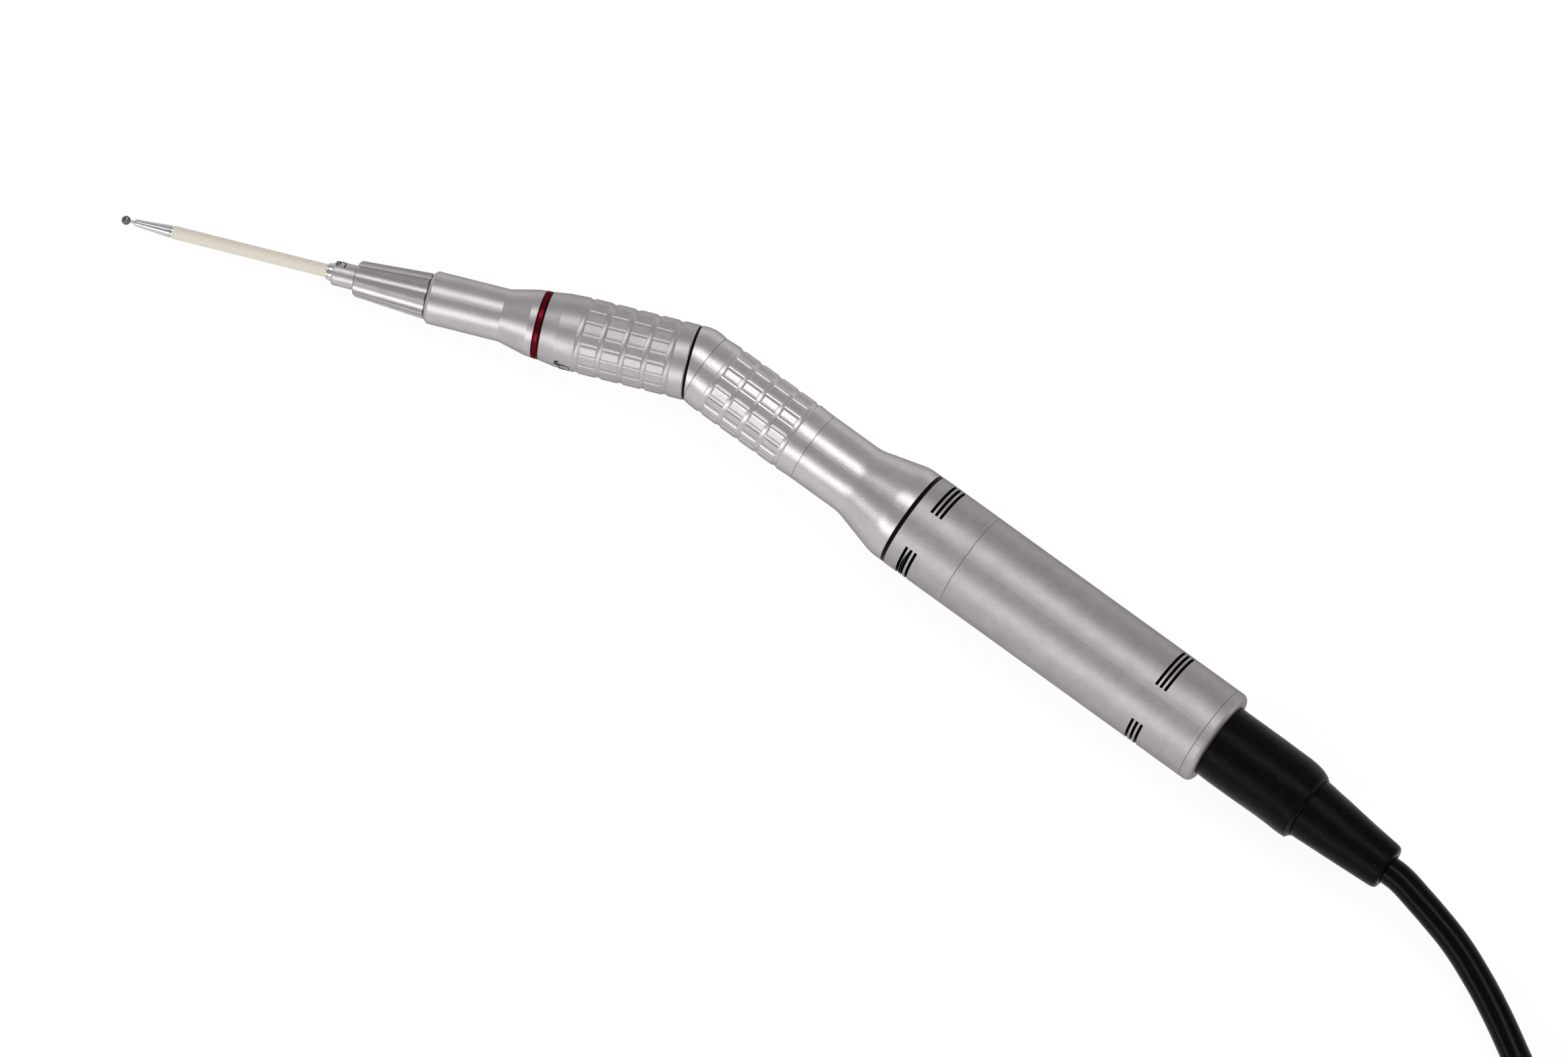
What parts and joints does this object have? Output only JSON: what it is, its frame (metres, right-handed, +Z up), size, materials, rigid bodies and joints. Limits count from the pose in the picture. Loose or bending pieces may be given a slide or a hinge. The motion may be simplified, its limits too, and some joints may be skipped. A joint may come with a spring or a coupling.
{
  "type": "rotary tool with flex shaft",
  "caption": "Angled drill handpiece with a guarded round bur, pushed onto a cylindrical electric motor with a rubber boot and a cord that ends in a plug.",
  "frame": {"origin": "on the surface that the tool lies on, under the middle of the box round the tool without its cord", "axes": "+X along the motor's axis towards the bend and the bur, +Y to the side that the nose bends to, +Z up from the surface"},
  "size_m": [0.5249, 0.0716, 0.0286],
  "materials": {
    "satin_steel": "bead-blasted satin",
    "satin_steel_front": "bead-blasted satin",
    "motor_shell": "fine matte, slightly warm",
    "polished_steel": "polished",
    "inner_steel": "turned",
    "carbide": "dark, ground",
    "ivory": "matte, felt-like",
    "red_anodised": "red anodised satin",
    "black_ring": "black satin",
    "seal": "black",
    "boot_rubber": "matte to satin",
    "cord_jacket": "glossy black",
    "bronze": "sintered",
    "gear_steel": "hard coated",
    "magnet": "nickel plated",
    "lamination": "oxide",
    "copper": "enamelled wire",
    "board": "solder mask",
    "wire": "red sleeve",
    "strap": "woven",
    "plug_metal": "matte chrome",
    "insulator": "black",
    "contact": "gold plated"
  },
  "bodies": {
    "motor": {"coupling_seal": "seal", "nose_seals": "seal", "motor_nose": "inner_steel", "vent_ring": "motor_shell", "motor_tube": "motor_shell", "end_cap": "motor_shell", "bearing_plates": "inner_steel", "plate_screws": "inner_steel", "stator_core": "lamination", "windings": "copper", "motor_bearings": "inner_steel", "sensor_board": "board", "lead_wires": "wire", "boot_body": "boot_rubber", "cord_relief": "boot_rubber", "cord_run": "cord_jacket", "cord_coil": "cord_jacket", "cord_tail": "cord_jacket", "cord_tie": "strap", "plug_boot": "boot_rubber", "plug_shell": "plug_metal", "plug_insert": "insulator", "plug_pins": "contact"},
    "rotor": {"rotor_magnet": "magnet", "motor_shaft": "inner_steel", "motor_bearing_bores": "inner_steel"},
    "coupling": {"snap_ring": "inner_steel"},
    "drive": {"drive_shaft": "inner_steel", "drive_gear": "gear_steel", "shaft_bearing_bores": "inner_steel"},
    "attachment": {"coupling_barrel": "satin_steel", "rear_grip": "satin_steel", "elbow_body": "satin_steel", "elbow_seal": "seal", "front_housing": "inner_steel", "ratio_ring": "red_anodised", "ratio_ring_edges": "black_ring", "front_barrel": "satin_steel_front", "shaft_bearings": "inner_steel", "spindle_bearings": "inner_steel"},
    "lock": {"lock_sleeve": "satin_steel_front"},
    "release": {"release_ring": "inner_steel"},
    "spindle": {"spindle": "inner_steel", "spindle_gear": "gear_steel", "spindle_bearing_bores": "inner_steel", "chuck_spring": "inner_steel"},
    "chuck": {"chuck_sleeve": "inner_steel", "collet": "inner_steel"},
    "cutter": {"nose_hub": "satin_steel_front", "size_collar": "satin_steel_front", "guard_collar": "polished_steel", "guard_core": "inner_steel", "guard_sleeve": "ivory", "guard_tip": "polished_steel", "hub_bushings": "bronze"},
    "bur": {"bur_shank": "inner_steel", "bur_head": "carbide"},
    "plug_release": {"plug_sleeve": "plug_metal"}
  },
  "joints": [
    {"name": "motor_spin", "type": "hinge", "parent": "motor", "child": "rotor", "pos_m": [-0.07093, -0.01759, 0.011], "axis": [1, 0, 0], "continuous": true},
    {"name": "attachment_pull", "type": "slide", "parent": "motor", "child": "coupling", "axis": [1, 0, 0], "range_m": [0, 0.03]},
    {"name": "swivel", "type": "hinge", "parent": "coupling", "child": "attachment", "pos_m": [-0.01293, -0.01759, 0.011], "axis": [1, 0, 0], "continuous": true},
    {"name": "drive_spin", "type": "hinge", "parent": "coupling", "child": "drive", "pos_m": [0.01407, -0.01759, 0.011], "axis": [1, 0, 0], "continuous": true},
    {"name": "spindle_spin", "type": "hinge", "parent": "attachment", "child": "spindle", "pos_m": [0.05254, -0.00971, 0.00926], "axis": [0.9304, 0.3578, -0.0792], "continuous": true},
    {"name": "lock_twist", "type": "hinge", "parent": "attachment", "child": "lock", "pos_m": [0.04882, -0.01115, 0.00957], "axis": [0.9304, 0.3578, -0.0792], "range_deg": [0, 40]},
    {"name": "release_slide", "type": "slide", "parent": "attachment", "child": "release", "axis": [0.9304, 0.3578, -0.0792], "range_m": [0, 0.0012]},
    {"name": "chuck_slide", "type": "slide", "parent": "spindle", "child": "chuck", "axis": [0.9304, 0.3578, -0.0792], "range_m": [0, 0.001], "deforming": ["chuck_spring"]},
    {"name": "cutter_withdraw", "type": "slide", "parent": "attachment", "child": "cutter", "axis": [0.9304, 0.3578, -0.0792], "range_m": [0, 0.042]},
    {"name": "bur_spin", "type": "hinge", "parent": "cutter", "child": "bur", "pos_m": [0.08324, 0.00209, 0.00664], "axis": [0.9304, 0.3578, -0.0792], "continuous": true},
    {"name": "plug_release", "type": "slide", "parent": "motor", "child": "plug_release", "axis": [-1, 0, 0], "range_m": [0, 0.0015], "stiffness_N_per_m": 800, "springref_m": -0.0015}
  ],
  "couplings": [
    {"joint": "drive_spin", "follows": "motor_spin", "ratio": 1},
    {"joint": "spindle_spin", "follows": "motor_spin", "ratio": 1},
    {"joint": "bur_spin", "follows": "motor_spin", "ratio": 1},
    {"joint": "release_slide", "follows": "lock_twist", "m_per_rad": 0.0017189},
    {"joint": "chuck_slide", "follows": "lock_twist", "m_per_rad": 0.0014324}
  ]
}
